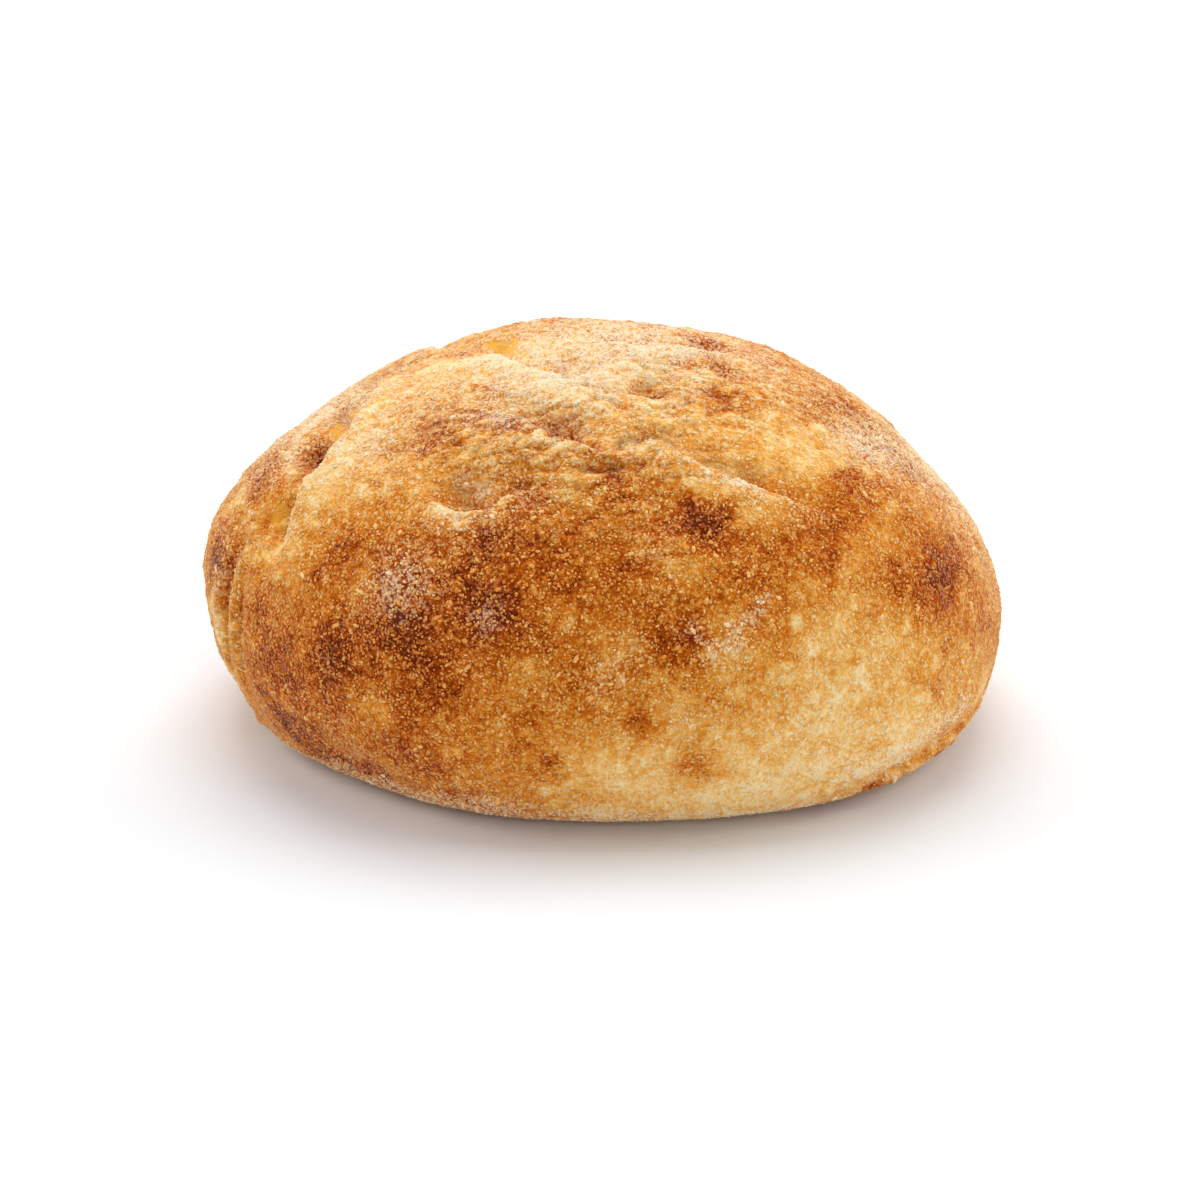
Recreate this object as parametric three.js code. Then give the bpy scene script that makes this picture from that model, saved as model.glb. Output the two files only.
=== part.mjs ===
// A rustic bread roll: one solid dome of baked dough on a flat base. The folds, creases, dimples
// and swellings of its crust are relief in the solid. Millimetres, +Z up, the front towards -Y.
import * as THREE from "three";
import { mergeVertices } from "three/addons/utils/BufferGeometryUtils.js";

// Driving sizes of the finished roll
const LENGTH = 120;
const WIDTH = 99;
const HEIGHT = 59;

// The plain form: an ellipsoid about the heart of the roll, fuller below, cut flat by its base
const HEART_HEIGHT = 17;
const DOME_FULLNESS = 2.02;
const PLAN_FULLNESS = 2.1;
const UNDERSIDE_FULLNESS = 2.2;
const UNDERSIDE_DEPTH = 1.95 * HEART_HEIGHT;
const HEEL_ROUNDING = 9;

// The crust starts as a sphere of small triangles. Those low down are crowded upwards, so that few
// are left for the flat base.
const SPHERE_DETAIL = 19;
const EVEN_PART = 0.78;
const CROWDING = 13;
const MERGE_DISTANCE = 1e-5;
const TINY = 1e-9;

// A fold's path is a smooth curve of this many straight steps. Its valley narrows to a part of
// its width on the lip's side, the lip is a part of that width too, and both grow shallow
// towards the ends.
const FOLD_STEPS = 24;
const STEEP_PART = 0.6;
const LIP_PART = 0.9;
const END_DEPTH = 0.3;

// Relief pushes sideways on the base and squarely out of the crust from this height up
const RELIEF_IS_SQUARE = 9;

// Places on the crust are bearings from the heart, in degrees: round from the front towards the
// right end, and up from the horizontal. Radii, heights, widths and depths are in millimetres.
const SWELLINGS = {
  leftNose: { at: [-88, 14], radius: 15, height: 2.6 },
  leftShoulder: { at: [-84, 46], radius: 16, height: -1.5 },
  leftHeel: { at: [-84, -14], radius: 16, height: -1.8 },
  frontLeftHeel: { at: [-54, -18], radius: 20, height: -3.6 },
  frontHeel: { at: [0, -22], radius: 26, height: -1.2 },
  frontRightHeel: { at: [46, -14], radius: 18, height: 1.0 },
  rightHeel: { at: [88, -18], radius: 15, height: -0.4 },
  frontLeftCheek: { at: [-38, 18], radius: 20, height: 0.9 },
  frontBelly: { at: [8, 6], radius: 24, height: 0.8 },
  rightCheek: { at: [74, 2], radius: 18, height: 0.8 },
  rightShoulder: { at: [98, 26], radius: 17, height: -2.4 },
  brow: { at: [0, 50], radius: 13, height: 0.8 },
  browHollow: { at: [38, 52], radius: 10, height: -1.2 },
  crownHollow: { at: [-40, 78], radius: 12, height: -0.6 },
  backLeftCheek: { at: [-134, 22], radius: 20, height: 1.3 },
  backHollow: { at: [178, 38], radius: 15, height: -1.5 },
  backRightCheek: { at: [140, 16], radius: 19, height: 1.1 },
  backShoulder: { at: [-160, 56], radius: 14, height: 0.9 },
  backCrown: { at: [170, 76], radius: 16, height: 0.7 },
};

const DIMPLES = {
  crownLeft: { at: [-100, 67], radius: 3.4, depth: 1.0 },
  crownFront: { at: [-44, 80], radius: 4.4, depth: 1.3 },
  crownRight: { at: [33, 70], radius: 3.2, depth: 1.1 },
  floury: { at: [-31, 42], radius: 3.8, depth: 1.7 },
  flouryRight: { at: [-19, 44], radius: 3.2, depth: 0.8 },
  wedge: { at: [-12, 58], radius: 3.6, depth: 1.2 },
  shoulderPit: { at: [-80, 33], radius: 3.4, depth: 1.3 },
  foldFoot: { at: [-68, 22], radius: 3.2, depth: 1.3 },
  backHigh: { at: [150, 58], radius: 4.4, depth: 1.3 },
  backLow: { at: [-150, 30], radius: 4.8, depth: 1.5 },
  backRight: { at: [122, 40], radius: 3.8, depth: 1.1 },
};

// A fold is a valley along a path, steep towards the lip on its right-hand side
const FOLDS = {
  leftShoulder: {
    path: [[-66, 19], [-68, 22], [-73, 27], [-79, 33], [-84, 37], [-95, 42]],
    width: 3.6,
    depth: 1.9,
    lip: 1.1,
  },
  brow: {
    path: [[16, 55], [25, 54], [31, 50], [34, 45], [38, 42], [41, 38]],
    width: 3.4,
    depth: 1.5,
    lip: 0.9,
  },
  wedge: {
    path: [[-40, 60], [-29, 60], [-18, 59], [-8, 57], [3, 54], [12, 54]],
    width: 3.2,
    depth: 1.0,
    lip: 0.7,
  },
  crown: {
    path: [[-104, 66], [-84, 75], [-55, 80], [-24, 82], [10, 82]],
    width: 3.2,
    depth: 0.8,
    lip: 0.7,
  },
  nose: {
    path: [[-78, 20], [-76, 12], [-74, 4]],
    width: 3.0,
    depth: 0.7,
    lip: 0.4,
  },
  crest: {
    path: [[-146, 85], [84, 83], [102, 72], [97, 64]],
    width: 3.2,
    depth: 0.8,
    lip: 0.5,
  },
  back: {
    path: [[130, 34], [148, 42], [170, 46], [-160, 50]],
    width: 4.0,
    depth: 1.6,
    lip: 0.8,
  },
  backLeft: {
    path: [[-132, 34], [-126, 46], [-116, 58]],
    width: 3.6,
    depth: 1.4,
    lip: 0.7,
  },
};

const CRUST = { color: 0xc98b4e, roughness: 0.82, metalness: 0 };

function directionOf([round, up]) {
  const azimuth = THREE.MathUtils.degToRad(round);
  const elevation = THREE.MathUtils.degToRad(up);
  return new THREE.Vector3(
    Math.sin(azimuth) * Math.cos(elevation),
    -Math.cos(azimuth) * Math.cos(elevation),
    Math.sin(elevation),
  );
}

// The lesser of two lengths, with the corner between them rounded over
function roundedLesser(a, b, rounding) {
  const overlap = Math.max(rounding - Math.abs(a - b), 0) / rounding;
  return Math.min(a, b) - (overlap * overlap * rounding) / 4;
}

// How far the widest outline of the roll, seen from above, is from its middle in a direction
function planReach(direction) {
  const flat = Math.hypot(direction.x, direction.y) || TINY;
  const sum =
    (Math.abs(direction.x / flat) / (LENGTH / 2)) ** PLAN_FULLNESS +
    (Math.abs(direction.y / flat) / (WIDTH / 2)) ** PLAN_FULLNESS;
  return sum ** (-1 / PLAN_FULLNESS);
}

// The point of the plain form that lies in a direction from the heart
function plainPoint(direction) {
  const flat = Math.hypot(direction.x, direction.y);
  const above = direction.z > 0;
  const rise = above ? HEIGHT - HEART_HEIGHT : UNDERSIDE_DEPTH;
  const fullness = above ? DOME_FULLNESS : UNDERSIDE_FULLNESS;
  const sum =
    (flat / planReach(direction)) ** fullness + (Math.abs(direction.z) / rise) ** fullness;
  const reach = sum ** (-1 / fullness);
  const toBase = above ? Infinity : HEART_HEIGHT / Math.max(-direction.z, TINY);
  const length = above ? reach : roundedLesser(reach, toBase, HEEL_ROUNDING);
  return direction.clone().multiplyScalar(length).add(new THREE.Vector3(0, 0, HEART_HEIGHT));
}

// A round swelling or dimple: 1 at its middle, fading to nothing past its radius
function roundFade(point, middle, radius) {
  return Math.exp(-point.distanceToSquared(middle) / (radius * radius));
}

// How far a fold moves a point of the crust out, with the valley as a negative number
function foldRelief(point, normal, { line, width, depth, lip }) {
  const nearest = new THREE.Vector3();
  const along = new THREE.Vector3();
  let distance = Infinity;
  let share = 0;
  for (let i = 0; i + 1 < line.length; i += 1) {
    const segment = new THREE.Line3(line[i], line[i + 1]);
    const t = segment.closestPointToPointParameter(point, true);
    const foot = segment.at(t, new THREE.Vector3());
    if (foot.distanceTo(point) < distance) {
      distance = foot.distanceTo(point);
      share = (i + t) / (line.length - 1);
      nearest.copy(foot);
      segment.delta(along);
    }
  }
  const acrossWays = new THREE.Vector3().crossVectors(along, normal).normalize();
  const across = acrossWays.dot(point.clone().sub(nearest));
  const pastSquared = Math.max(distance * distance - across * across, 0);
  const steepness = across > 0 ? STEEP_PART * width : width;
  const valley = depth * Math.exp(-((across / steepness) ** 2));
  const ridge = lip * Math.exp(-(((across - width) / (LIP_PART * width)) ** 2));
  const taper = END_DEPTH + (1 - END_DEPTH) * Math.sin(Math.PI * share);
  return taper * Math.exp(-pastSquared / (width * width)) * (ridge - valley);
}

// Moves a direction up, the more the nearer it is to the base
function crowdUpwards(direction) {
  const below = (1 - direction.z) / 2;
  const moved = EVEN_PART * below + (1 - EVEN_PART) * below ** CROWDING;
  const z = 1 - 2 * moved;
  const flat = Math.hypot(direction.x, direction.y) || TINY;
  const spread = Math.sqrt(Math.max(1 - z * z, 0)) / flat;
  return new THREE.Vector3(direction.x * spread, direction.y * spread, z);
}

function buildCrust() {
  const sphere = new THREE.IcosahedronGeometry(1, SPHERE_DETAIL);
  sphere.deleteAttribute("normal");
  sphere.deleteAttribute("uv");
  const crust = mergeVertices(sphere, MERGE_DISTANCE);
  const places = crust.getAttribute("position");
  const point = new THREE.Vector3();
  const normal = new THREE.Vector3();

  for (let i = 0; i < places.count; i += 1) {
    const direction = crowdUpwards(point.fromBufferAttribute(places, i).normalize());
    places.setXYZ(i, ...plainPoint(direction).toArray());
  }

  crust.computeVertexNormals();
  const normals = crust.getAttribute("normal");
  const swellings = Object.values(SWELLINGS).map(({ at, radius, height }) => ({
    middle: plainPoint(directionOf(at)),
    radius,
    height,
  }));
  const dimples = Object.values(DIMPLES).map(({ at, radius, depth }) => ({
    middle: plainPoint(directionOf(at)),
    radius,
    height: -depth,
  }));
  const folds = Object.values(FOLDS).map((fold) => ({
    ...fold,
    line: new THREE.CatmullRomCurve3(
      fold.path.map((at) => plainPoint(directionOf(at))),
    ).getPoints(FOLD_STEPS),
  }));

  for (let i = 0; i < places.count; i += 1) {
    point.fromBufferAttribute(places, i);
    normal.fromBufferAttribute(normals, i);
    let relief = 0;
    for (const { middle, radius, height } of [...swellings, ...dimples])
      relief += height * roundFade(point, middle, radius);
    for (const fold of folds) relief += foldRelief(point, normal, fold);
    const push = new THREE.Vector3(point.x, point.y, 0).divideScalar(planReach(point));
    push.lerp(normal, THREE.MathUtils.smoothstep(point.z, 0, RELIEF_IS_SQUARE));
    point.addScaledVector(push, relief);
    places.setXYZ(i, ...point.toArray());
  }
  crust.deleteAttribute("normal");
  return crust;
}

// Stands the crust on its base at the origin and draws it to the driving sizes
function fitToSizes(crust) {
  crust.computeBoundingBox();
  const middle = crust.boundingBox.getCenter(new THREE.Vector3());
  const size = crust.boundingBox.getSize(new THREE.Vector3());
  crust.translate(-middle.x, -middle.y, -crust.boundingBox.min.z);
  crust.scale(LENGTH / size.x, WIDTH / size.y, HEIGHT / size.z);
  return crust;
}

const roll = new THREE.Mesh(fitToSizes(buildCrust()), new THREE.MeshStandardMaterial(CRUST));
roll.name = "bread_roll";

const part = new THREE.Group();
part.add(roll);

export default part;
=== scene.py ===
import math
import random

import bpy
import numpy as np
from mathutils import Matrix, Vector, noise
from mathutils.bvhtree import BVHTree


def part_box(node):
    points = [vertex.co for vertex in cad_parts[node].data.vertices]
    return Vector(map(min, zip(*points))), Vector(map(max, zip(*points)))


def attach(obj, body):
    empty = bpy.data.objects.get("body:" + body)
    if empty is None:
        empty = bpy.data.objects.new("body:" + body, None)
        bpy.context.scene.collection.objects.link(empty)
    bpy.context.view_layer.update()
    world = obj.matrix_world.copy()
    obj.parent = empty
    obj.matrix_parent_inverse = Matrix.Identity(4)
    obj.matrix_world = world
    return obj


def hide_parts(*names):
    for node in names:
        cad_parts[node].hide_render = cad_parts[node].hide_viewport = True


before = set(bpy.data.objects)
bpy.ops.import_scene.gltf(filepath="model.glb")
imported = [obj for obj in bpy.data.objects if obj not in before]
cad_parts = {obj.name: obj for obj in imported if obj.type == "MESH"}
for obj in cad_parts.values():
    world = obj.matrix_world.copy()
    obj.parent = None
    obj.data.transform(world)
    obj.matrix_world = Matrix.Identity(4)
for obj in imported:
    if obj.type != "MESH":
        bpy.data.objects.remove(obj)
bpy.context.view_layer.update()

MM = 0.001
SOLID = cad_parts["bread_roll"]
LOW, HIGH = (np.array(corner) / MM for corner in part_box("bread_roll"))
LENGTH, _, HEIGHT = HIGH - LOW

# Places on the crust are bearings from the heart of the roll, in degrees: round from the front
# towards the right end, and up from the horizontal
HEART_SHARE = 17 / 59
HEART = Vector((0, 0, HEART_SHARE * HEIGHT))

# Crisp folds: bearings along the valley, then its width, its depth and the height of the lip on
# the right-hand side of the way it runs
FOLDS = {
    "left shoulder": (
        [(-65, 18), (-67, 23), (-69, 28), (-72, 33), (-78, 38), (-87, 41), (-98, 43)],
        3.0, 2.3, 1.2,
    ),
    "shoulder tear": ([(-72, 19), (-72, 23), (-71, 27), (-74, 31)], 1.5, 1.1, 0.6),
    "olive hollow": ([(-86, 37), (-92, 38), (-99, 38)], 2.2, 1.4, 0.5),
    "brow right": ([(9, 54), (14, 55), (19, 54), (24, 51), (27, 47)], 2.4, 2.0, 1.1),
    "brow arc": ([(22, 50), (28, 47), (33, 44), (38, 41), (43, 37), (48, 33)], 2.4, 1.5, 1.0),
    "brow ledge": ([(12, 50), (5, 49), (-2, 49), (-10, 49)], 1.8, 1.3, 0.5),
    "brow wedge": ([(-42, 57), (-35, 60), (-27, 60), (-19, 58), (-10, 55), (0, 53)], 2.6, 2.4, 0.9),
    "crown left": ([(-100, 62), (-97, 66), (-90, 70), (-78, 73), (-60, 75)], 2.6, 1.7, 1.2),
    "crown front": ([(-62, 74), (-44, 75), (-29, 75), (-14, 77), (6, 80)], 2.8, 2.4, 1.4),
    "crown crest": ([(-150, 84), (106, 86), (97, 78), (90, 72), (100, 66)], 2.2, 1.6, 1.0),
    "nose crease": ([(-76, 16), (-75, 10), (-75, 4), (-74, -5)], 1.7, 1.3, 0.8),
    "nose second crease": ([(-71, 15), (-70, 9), (-70, 2), (-69, -5)], 1.5, 1.0, 0.6),
    "bowl lip": ([(-37, 38), (-33, 37), (-28, 38), (-24, 41), (-21, 43)], 2.4, 1.6, 1.5),
    "cheek scar": ([(-55, 20), (-52, 18)], 1.3, 0.6, 0.2),
    "right rim": ([(34, -15), (43, -15), (50, -13), (57, -11), (64, -9), (72, -6)], 2.2, 0.6, 0.9),
    "back fold": ([(128, 34), (148, 42), (170, 46), (-160, 50)], 2.8, 1.6, 0.9),
    "back left fold": ([(-132, 34), (-126, 46), (-116, 58)], 2.6, 1.4, 0.8),
    "back low crease": ([(160, 8), (-176, 14), (-152, 12)], 1.8, 0.8, 0.4),
    "back rim": ([(118, -12), (140, -14), (165, -13)], 2.2, 0.6, 0.8),
}
FOLD_STEPS = 28

# Dimples and blisters: bearing, radius and height
DIMPLES = {
    "crown left": (-112, 66, 2.6, -1.4),
    "crown front": (-36, 79, 3.2, -1.6),
    "crown notch": (31, 70, 2.1, -1.9),
    "crown notch tail": (22, 73, 1.7, -0.9),
    "shoulder pit": (-82, 32, 2.4, -1.6),
    "fold foot": (-70, 22, 2.0, -0.8),
    "olive hollow": (-94, 38, 2.4, -0.6),
    "bowl": (-32, 40, 3.2, -2.0),
    "bowl neighbour": (-19, 44, 2.4, -0.7),
    "wedge hollow": (-16, 58, 2.6, -0.9),
    "crown scar one": (110, 68, 2.0, -0.7),
    "crown scar two": (78, 66, 2.2, -0.5),
    "crown scar three": (55, 60, 2.4, -0.6),
    "right scar": (96, 39, 2.6, -1.0),
    "low pimple": (6, 4, 1.6, -0.4),
    "low dent": (16, -5, 1.8, -0.4),
    "cheek dent": (-58, 41, 2.0, -0.5),
    "shoulder blister": (-50, 50, 4.5, 0.6),
    "brow blister": (20, 46, 4.5, 0.5),
    "right blister": (66, 26, 5.0, 0.5),
    "low blister": (22, 2, 5.5, 0.4),
    "belly blister": (-14, 20, 6.0, 0.4),
    "back blister": (-170, 26, 5.5, 0.6),
    "back pit": (150, 56, 2.8, -1.0),
    "back low pit": (-150, 28, 2.6, -0.9),
}

# Where the oven browned the crust more, or less if below 0, with painted highlight on fold lips and
# painted
# shade in the shoulder hollow: a bearing or bearings along a streak, then the radius or width, and
# how much
ZONES = {
    "belly left": ((-34, 17), 19, 0.33),
    "belly middle": ((-2, 25), 17, 0.16),
    "right end": ((66, 16), 12, 0.13),
    "lower left": ((-52, -4), 14, 0.24),
    "pale right": ((42, 2), 15, -0.15),
    "pale right low": ((54, -8), 10, -0.16),
    "pale low middle": ((6, -9), 12, -0.21),
    "pale low right": ((28, -11), 12, -0.24),
    "crown": ((-40, 78), 26, -0.22),
    "pale right top": ((58, 44), 11, -0.17),
    "right shoulder": ((82, 38), 9, 0.13),
    "right top white": ((70, 40), 6, -0.05),
    "behind the brow": ((42, 42), 6, 0.09),
    "orange left": ((-44, -4), 8, -0.08),
    "gold middle": ((-22, 12), 5, -0.12),
    "gold left": ((-46, 19), 5, -0.10),
    "left cheek": ((-58, 34), 12, -0.13),
}
STREAKS = {
    # The lips are paled partly as painted highlight on their lit edges; the shoulder hollow is
    # darkened as painted shade
    "shoulder lip": ([(-60, 19), (-63, 25), (-66, 32), (-71, 38), (-79, 43), (-90, 46)], 2.2, -0.12),
    "shoulder hollow": ([(-76, 26), (-78, 30), (-84, 36), (-90, 35)], 2.4, 0.19),
    "purple band": ([(-80, 22), (-84, 25), (-89, 28)], 1.8, 0.17),
    "middle ridge": ([(-99, 34), (-94, 33), (-89, 31), (-83, 29), (-78, 27)], 1.4, -0.22),
    "right rim": ([(34, -17), (43, -17), (50, -15), (57, -13), (64, -11), (71, -8)], 1.2, 0.50),
    "lower left band": ([(-64, -3), (-60, -8), (-55, -12), (-48, -13), (-40, -12)], 1.6, 0.22),
    "crown left lip": ([(-104, 57), (-96, 63), (-88, 68), (-70, 72)], 1.8, -0.18),
    "crown front lip": ([(-50, 72), (-28, 73), (-6, 75), (8, 78)], 1.6, -0.10),
    "bowl lip": ([(-36, 36), (-31, 36), (-25, 39)], 1.5, -0.36),
    "brow lip": ([(14, 52), (20, 50), (25, 46), (31, 41), (37, 39)], 1.4, -0.04),
    "brow ledge lip": ([(-16, 53), (-8, 51), (0, 51), (8, 52)], 1.2, -0.12),
    "right streak": ([(43, 17), (37, 11), (31, 7)], 3.0, -0.04),
    "nose ridge": ([(-78, 20), (-78, 12), (-77, 4), (-76, -4)], 0.9, -0.18),
}

# Spots of the same kind, region by region: bearing, radius and how much
SPOTS = {
    "left end": [
        (-82, 32, 2.8, 0.76),
        (-79, 35, 2.2, 0.30),
        (-84, 26, 3.0, 0.24),
        (-90, 24, 3.0, 0.20),
        (-79, 12, 3.6, 0.76),
        (-83, 17, 3.0, 0.08),
        (-84, 19, 2.2, -0.27),
        (-77, 3, 2.4, -0.31),
        (-66, 19, 2.2, -0.54),
        (-60, 25, 2.6, 0.16),
        (-81, 42, 2.2, 0.24),
        (-88, 35, 2.4, -0.28),
        (-79, 25, 2.0, 0.12),
        (-74, 27, 2.0, -0.18),
        (-75, 17, 2.0, -0.12),
        (-74, 12, 1.8, -0.12),
        (-62, 10, 2.8, 0.20),
        # Paler at the top-left edge: painted rim light
        (-108, 45, 4.0, -0.10),
    ],
    "left cheek": [
        (-46, 8, 4.2, 0.27),
        (-31, 13, 4.2, 0.16),
        (-27, 7, 3.8, 0.24),
        (-35, 16, 3.4, 0.14),
        (-59, 5, 4.4, 0.26),
        (-59, -6, 3.4, 0.24),
        (-55, -12, 3.0, 0.14),
        (-34, -4, 3.0, 0.22),
        (-53, 19, 1.8, 0.22),
        (-50, 26, 3.4, 0.21),
        (-38, 2, 3.0, -0.30),
        (-29, -7, 3.0, 0.32),
        (-27, 24, 2.8, 0.16),
        (-45, 14, 2.8, 0.23),
        (-44, 21, 2.6, -0.19),
        (-24, -13, 3.0, 0.26),
        (-35, 8, 2.4, -0.18),
        (-35, 22, 2.4, -0.12),
        (-24, 6, 2.4, 0.15),
        (-51, 10, 2.2, -0.12),
    ],
    "belly": [
        (-19, 21, 4.2, 0.37),
        (-20, 20, 1.8, -0.22),
        (13, 16, 4.0, 0.34),
        (6, 3, 2.5, 0.38),
        (16, -5, 2.7, 0.42),
        (-9, -5, 2.3, 0.38),
        (0, 26, 5.0, 0.03),
        (-13, 1, 2.6, 0.22),
        (13, 5, 2.6, -0.23),
        (20, 13, 2.6, -0.16),
        (-23, 31, 2.8, 0.30),
        (-19, 36, 2.8, 0.22),
        (-42, 36, 3.0, -0.18),
        # Paler on the bowl's lit right rim: painted highlight
        (-28, 40, 2.6, -0.28),
        (-3, 10, 2.6, 0.15),
        (-12, 11, 2.6, -0.15),
        (2, 16, 2.8, -0.22),
        (7, 30, 2.4, 0.13),
        (-18, 43, 2.2, 0.14),
        (-6, 42, 2.2, -0.18),
        (1, 43, 2.2, 0.13),
        (13, 34, 2.4, 0.13),
        (-2, 36, 2.4, 0.12),
        (10, 24, 2.4, 0.12),
        (-10, 31, 2.4, 0.12),
        (-9, 38, 2.2, -0.13),
        (-13, 45, 2.2, -0.12),
    ],
    "brow": [
        (-38, 56, 3.2, 0.12),
        (-21, 59, 2.4, 0.38),
        (-11, 56, 2.4, 0.52),
        (-2, 53, 2.0, 0.32),
        (7, 46, 5.0, 0.14),
        (-51, 51, 5.5, 0.18),
        (-31, 57, 2.2, 0.20),
        (-14, 52, 2.2, -0.14),
        (-3, 46, 2.8, -0.14),
        (-40, 44, 3.2, -0.18),
        (-48, 47, 2.8, 0.24),
        (11, 50, 2.2, -0.17),
    ],
    "crown": [
        (111, 67, 2.6, 0.38),
        (78, 66, 3.4, 0.26),
        (55, 60, 3.4, 0.34),
        (61, 64, 2.8, -0.24),
        (31, 70, 2.4, 0.58),
        (-50, 66, 3.0, 0.18),
        (23, 62, 2.6, -0.27),
        (44, 74, 2.8, -0.26),
        (-60, 63, 3.0, 0.13),
        (-37, 63, 2.6, -0.12),
    ],
    "right": [
        (60, 35, 2.8, 0.34),
        (58, 30, 2.8, 0.33),
        (55, 34, 2.6, 0.28),
        (22, 38, 4.2, 0.38),
        (27, 35, 3.2, 0.10),
        (21, 34, 2.8, 0.30),
        (35, 28, 5.0, 0.20),
        (26, 25, 4.4, 0.22),
        (48, 30, 4.2, 0.32),
        (29, 16, 3.6, 0.10),
        (43, 24, 3.2, 0.25),
        (25, 43, 2.6, -0.16),
        (32, 37, 2.6, -0.18),
        (34, 53, 3.0, -0.07),
        (58, 26, 2.2, -0.13),
        (43, 40, 2.4, -0.15),
        (29, 18, 2.4, 0.13),
        (22, 7, 2.4, 0.12),
    ],
    "right end": [
        (63, 15, 4.6, 0.38),
        (71, 16, 3.6, 0.18),
        (56, 16, 3.2, 0.19),
        (54, 19, 2.8, 0.22),
        (57, 0, 2.2, 0.24),
        (98, 40, 2.6, 0.34),
        (93, 37, 2.4, 0.26),
        (80, 30, 3.4, 0.12),
        (69, -9, 2.4, -0.20),
        (67, 29, 2.6, 0.22),
        (84, 40, 2.6, 0.13),
        (76, 5, 2.6, 0.18),
        (97, 26, 2.6, 0.13),
        (71, -4, 2.6, -0.24),
    ],
}

# Flour dust, and a pale veil that is partly painted highlight on lips, the crown and the two ends:
# as above, with how thick it lies, or how much thinner it is if below 0
FLOUR_AND_HIGHLIGHT = {
    "left dusting": ((-37, 22), 5.5, 0.48),
    "spot middle": ((-20, 20), 2.6, 0.40),
    "bowl": ((-31, 41), 2.8, 0.55),
    # The lit bowl lip: flour with painted highlight
    "bowl lip": ([(-35, 36), (-30, 35)], 1.4, 0.18),
    "right streak one": ([(15, 18), (18, 15)], 1.1, 0.40),
    "right streak two": ([(19, 13), (22, 15), (25, 18), (29, 21)], 1.3, 0.50),
    "middle one": ((0, 11), 3.2, 0.22),
    "middle two": ((6, 15), 2.6, 0.18),
    "middle three": ((12, 33), 4.0, 0.16),
    "right top": ((71, 38), 5.0, 0.45),
    "right shoulder": ((80, 34), 7.0, 0.34),
    # Along the lit brow arc: flour with painted highlight
    "brow arc": ([(25, 46), (30, 43), (37, 40), (42, 37)], 1.4, 0.50),
    "right low": ([(42, -10), (50, -9), (57, -7), (64, -5)], 2.2, 0.55),
    "right low two": ((40, -6), 4.0, 0.22),
    "nose": ((-80, 12), 5.0, 0.26),
    "purple band": ((-85, 25), 4.0, 0.24),
    "middle ridge": ([(-99, 34), (-89, 31), (-79, 27)], 1.5, 0.30),
    "left purple": ((-46, 8), 3.6, 0.06),
    "crown notch": ((30, 70), 2.6, -0.45),
    "crown hollow": ([(-42, 77), (-16, 78)], 2.0, -0.40),
    "crown scar one": ((111, 67), 2.6, -0.25),
    "crown scar two": ((78, 66), 3.2, -0.22),
    "crown scar three": ((55, 60), 3.2, -0.25),
    "right scar": ((98, 40), 2.8, -0.30),
    "brow purple": ((-40, 57), 3.4, 0.22),
    "left cheek": ((-66, 40), 7.0, 0.26),
    # The crown, the two ends and the back of the crown: flour with painted highlight and rim light
    # on top
    "crown": ((-60, 76), 24.0, 0.50),
    "right side": ((95, 22), 16.0, 0.62),
    "left side": ((-104, 30), 16.0, 0.62),
    "crown back": ((120, 72), 22.0, 0.45),
}

# Torn places, where the smooth yellow inside of the skin shows: bearings, width and how much
TORN = {
    "shoulder": ([(-87, 36), (-90, 38), (-93, 39)], 1.5, 1.3),
    "shoulder low": ([(-72, 22), (-72, 25), (-70, 28)], 1.3, 1.3),
    "fold foot": ([(-70, 20), (-66, 19)], 1.1, 0.5),
    "crown left": ([(-118, 64), (-115, 67), (-110, 70)], 1.6, 1.1),
    "crown front": ([(-48, 76), (-31, 77), (-14, 79)], 1.8, 0.5),
    "wedge": ([(-33, 60), (-25, 60)], 1.3, 1.2),
    "back": ([(144, 55), (152, 56)], 1.6, 0.7),
}

# Sheltered hollows that the oven left olive and dull, and darker as painted shade: a bearing or
# bearings, width and how much
SHELTERED_AND_SHADED = {
    "behind the brow": ([(10, 55), (17, 55), (23, 52), (28, 48)], 2.2, 0.95),
    "behind the arc": ([(28, 48), (34, 46), (40, 43)], 2.2, 0.7),
    "brow trench": ([(-20, 58), (-10, 56), (0, 54)], 1.4, 0.35),
    "wedge front": ((-26, 59), 1.6, 0.4),
    "bowl": ((-33, 40), 2.8, 0.85),
    "bowl right": ((-21, 44), 2.0, 0.4),
    "olive hollow": ([(-91, 37), (-95, 38), (-100, 40)], 1.8, 0.9),
    "shoulder foot": ((-69, 22), 1.5, 0.8),
    "crown front": ([(-42, 77), (-30, 77), (-16, 78)], 2.2, 1.0),
    "crown left": ([(-114, 62), (-104, 68)], 1.4, 0.6),
    "back": ((150, 55), 3.0, 0.5),
}

# The thin brown rim at the foot of the right end, bare of flour
RIM = ([(34, -18), (43, -17), (50, -15), (57, -13), (64, -11), (71, -8)], 1.6)

# Where the skin is wrinkled: a bearing, the radius and how much
WRINKLES = {
    "brow": ((-8, 52), 18, 1.0),
    "left shoulder": ((-60, 50), 13, 0.8),
    "right shoulder": ((80, 42), 12, 0.8),
    "crown right": ((60, 75), 18, 0.9),
    "left end": ((-78, 18), 15, 0.5),
    "right end": ((88, 20), 13, 0.5),
    "back": ((-165, 52), 16, 0.7),
}

# Relief all over the crust: how wide a form is, and how high or deep
SWELL_WIDTH, SWELL_HEIGHT = 24.0, 0.40
BLISTER_WIDTH, BLISTER_HEIGHT = 2.6, 0.20
BUMP_WIDTH, BUMP_HEIGHT = 1.5, 0.13
FURROW_WIDTH, FURROW_DEPTH = 1.9, 0.58
RIPPLE_WIDTH, RIPPLE_HEIGHT = 2.6, 0.35

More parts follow.
